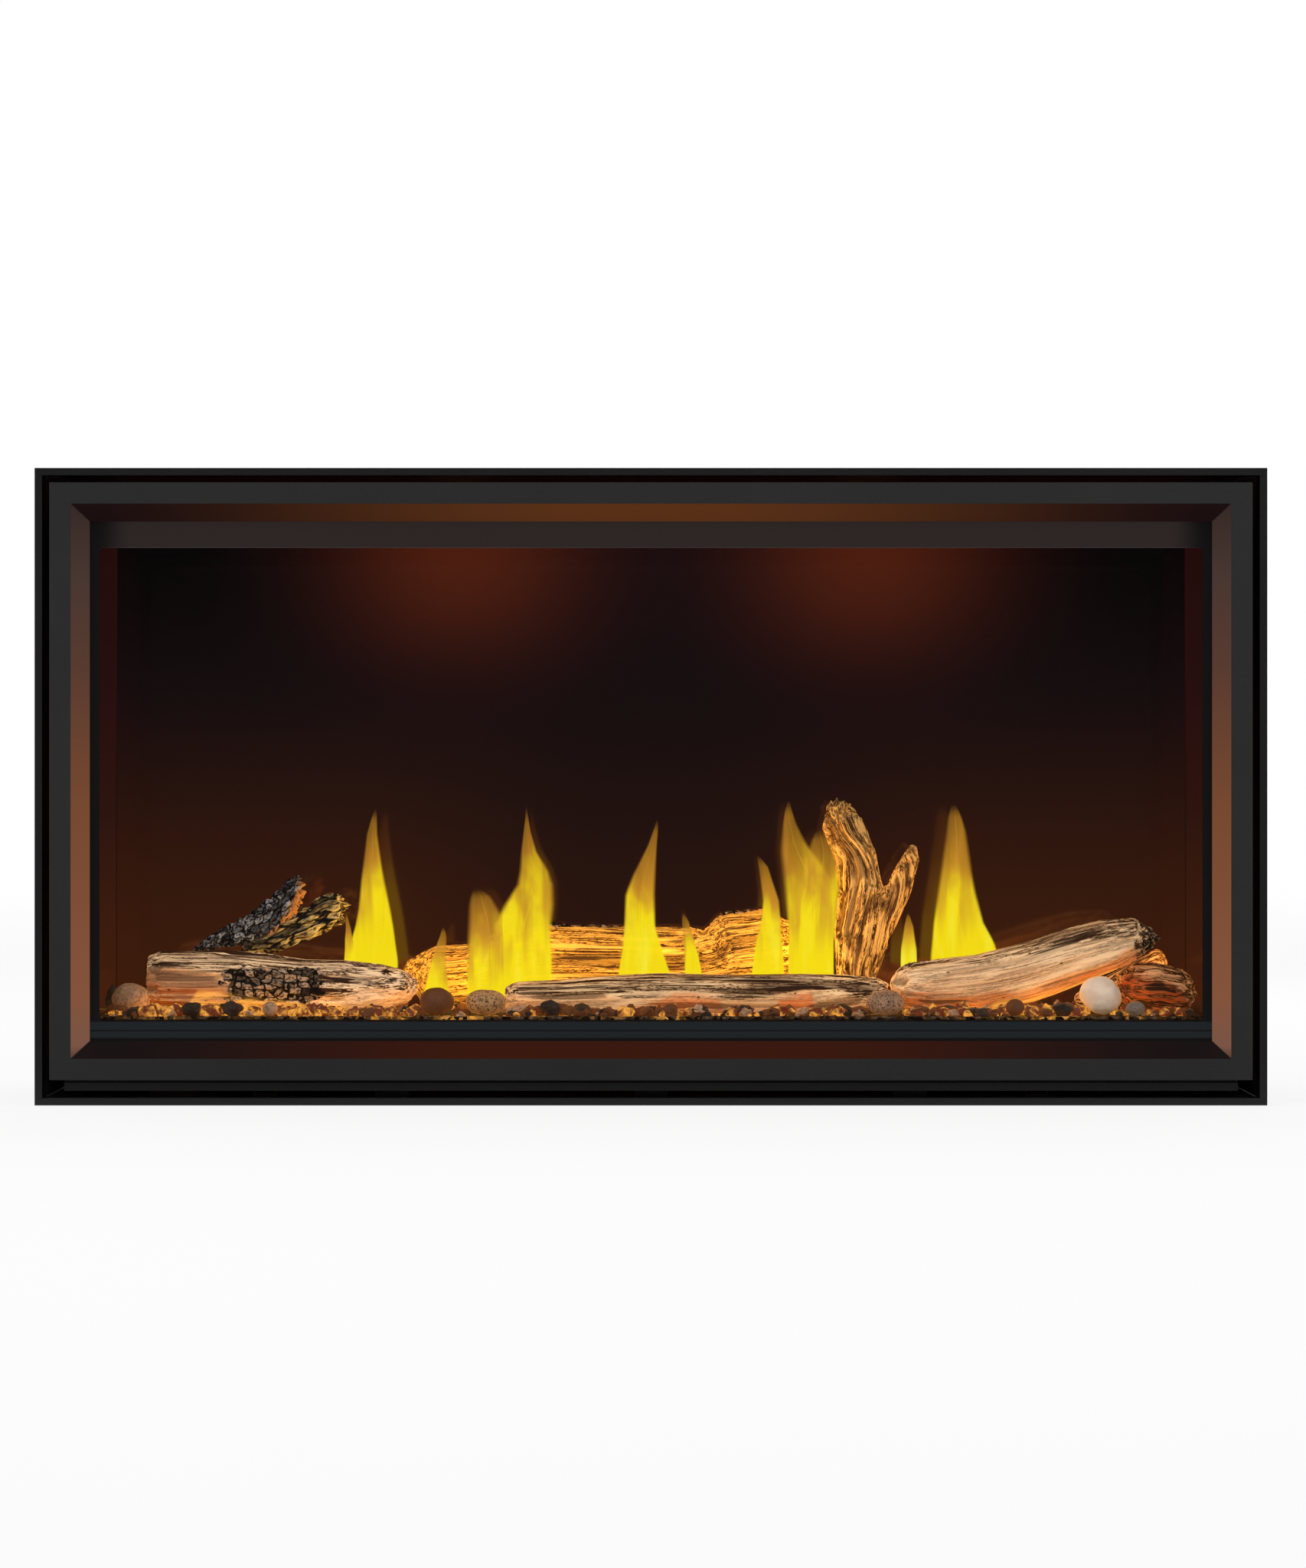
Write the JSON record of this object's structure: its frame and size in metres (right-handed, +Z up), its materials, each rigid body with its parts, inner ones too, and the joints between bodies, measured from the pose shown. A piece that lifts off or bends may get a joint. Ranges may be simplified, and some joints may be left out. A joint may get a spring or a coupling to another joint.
{
  "type": "direct vent gas fireplace",
  "caption": "Linear direct vent gas fireplace with a sealed glass-fronted firebox, removable bezel, ribbon burner, log set, gas train and a coaxial vent at the back.",
  "frame": {"origin": "middle of the footprint, on the floor under the base's skids; the footprint runs from the front of the wall trim to the end of the exhaust collar", "axes": "+Z up; the front faces -Y and the vent leaves along +Y; +X to the right as seen from the front"},
  "size_m": [1.42, 0.49, 0.7348],
  "materials": {
    "galvanised": "galvanised sheet",
    "satin_black": "satin black powder coat",
    "firebox_black": "matt heat-proof black paint",
    "porcelain": "glossy black porcelain enamel",
    "ceramic_glass": "clear ceramic glass",
    "gasket_rope": "woven glass-fibre rope",
    "bare_steel": "bare steel",
    "brass": "machined brass",
    "cast_aluminium": "as cast",
    "black_plastic": "matt black moulding",
    "red_plastic": "red moulding",
    "pale_log": "moulded ceramic fibre, pale weathered wood",
    "charred_log": "moulded ceramic fibre, charred wood",
    "ember_gravel": "loose lava rock and ember gravel",
    "pearl_stone": "polished pale stone"
  },
  "bodies": {
    "casing": {"base_pan": "galvanised", "casing_back": "galvanised", "casing_left_side": "galvanised", "casing_right_side": "galvanised", "casing_top": "galvanised", "trim_top": "satin_black", "trim_bottom": "satin_black", "trim_left": "satin_black", "trim_right": "satin_black", "lower_rail": "satin_black", "latch_bracket_left": "galvanised", "latch_bracket_right": "galvanised", "firebox_left_wall": "firebox_black", "firebox_right_wall": "firebox_black", "firebox_back_wall": "firebox_black", "firebox_face": "firebox_black", "firebox_floor": "firebox_black", "firebox_roof": "firebox_black", "left_panel": "porcelain", "right_panel": "porcelain", "back_panel": "porcelain", "lamp_left": "galvanised", "lamp_right": "galvanised", "lamp_lens_left": "ceramic_glass", "lamp_lens_right": "ceramic_glass", "burner_pan": "bare_steel", "burner_tray": "firebox_black", "media_bed": "ember_gravel", "pilot_assembly": "bare_steel", "mixing_tube": "bare_steel", "gas_orifice": "brass", "gas_inlet_pipe": "bare_steel", "shutoff_valve": "brass", "gas_valve": "cast_aluminium", "gas_manifold": "bare_steel", "control_module": "black_plastic", "exhaust_collar": "galvanised", "intake_collar": "galvanised", "log_front_left": "pale_log", "log_front_centre": "pale_log", "log_rear_centre": "pale_log", "log_leaning": "pale_log", "log_stub": "charred_log", "log_fork": "pale_log", "branch_charred": "charred_log", "branch_bark": "charred_log", "pebble_white": "pearl_stone"},
    "door": {"door_frame": "satin_black", "door_glass": "ceramic_glass", "door_gasket": "gasket_rope"},
    "surround": {"bezel": "satin_black"},
    "left_latch": {"latch_left": "bare_steel", "latch_spring_left": "bare_steel"},
    "right_latch": {"latch_right": "bare_steel", "latch_spring_right": "bare_steel"},
    "gas_stop_lever": {"shutoff_lever": "red_plastic"},
    "switch": {"mode_switch": "red_plastic"},
    "shutter": {"air_shutter": "galvanised"},
    "knob": {"flame_height_knob": "black_plastic"},
    "flap": {"relief_flap": "galvanised"}
  },
  "joints": [
    {"name": "door_pull", "type": "slide", "parent": "casing", "child": "door", "axis": [0, -1, 0], "range_m": [0, 0.28]},
    {"name": "bezel_pull", "type": "slide", "parent": "door", "child": "surround", "axis": [0, -1, 0], "range_m": [0, 0.28]},
    {"name": "latch_left_turn", "type": "hinge", "parent": "casing", "child": "left_latch", "pos_m": [-0.45, -0.15, 0.0547], "axis": [-1, 0, 0], "range_deg": [0, 60], "stiffness_Nm_per_rad": 0.02},
    {"name": "latch_right_turn", "type": "hinge", "parent": "casing", "child": "right_latch", "pos_m": [0.45, -0.15, 0.0547], "axis": [-1, 0, 0], "range_deg": [0, 60], "stiffness_Nm_per_rad": 0.02},
    {"name": "shutoff_turn", "type": "hinge", "parent": "casing", "child": "gas_stop_lever", "pos_m": [-0.6297, -0.115, 0.064], "axis": [0, 0, -1], "range_deg": [0, 90]},
    {"name": "flame_height_turn", "type": "hinge", "parent": "casing", "child": "knob", "pos_m": [-0.5314, -0.1403, 0.04], "axis": [0, -1, 0], "range_deg": [0, 120]},
    {"name": "mode_switch_slide", "type": "slide", "parent": "casing", "child": "switch", "axis": [1, 0, 0], "range_m": [-0.005, 0.005]},
    {"name": "air_shutter_turn", "type": "hinge", "parent": "casing", "child": "shutter", "pos_m": [-0.598, -0.015, 0.075], "axis": [1, 0, 0], "range_deg": [0, 60]},
    {"name": "relief_flap_open", "type": "hinge", "parent": "casing", "child": "flap", "pos_m": [0, 0.0394, 0.6852], "axis": [-1, 0, 0], "range_deg": [0, 35]}
  ]
}
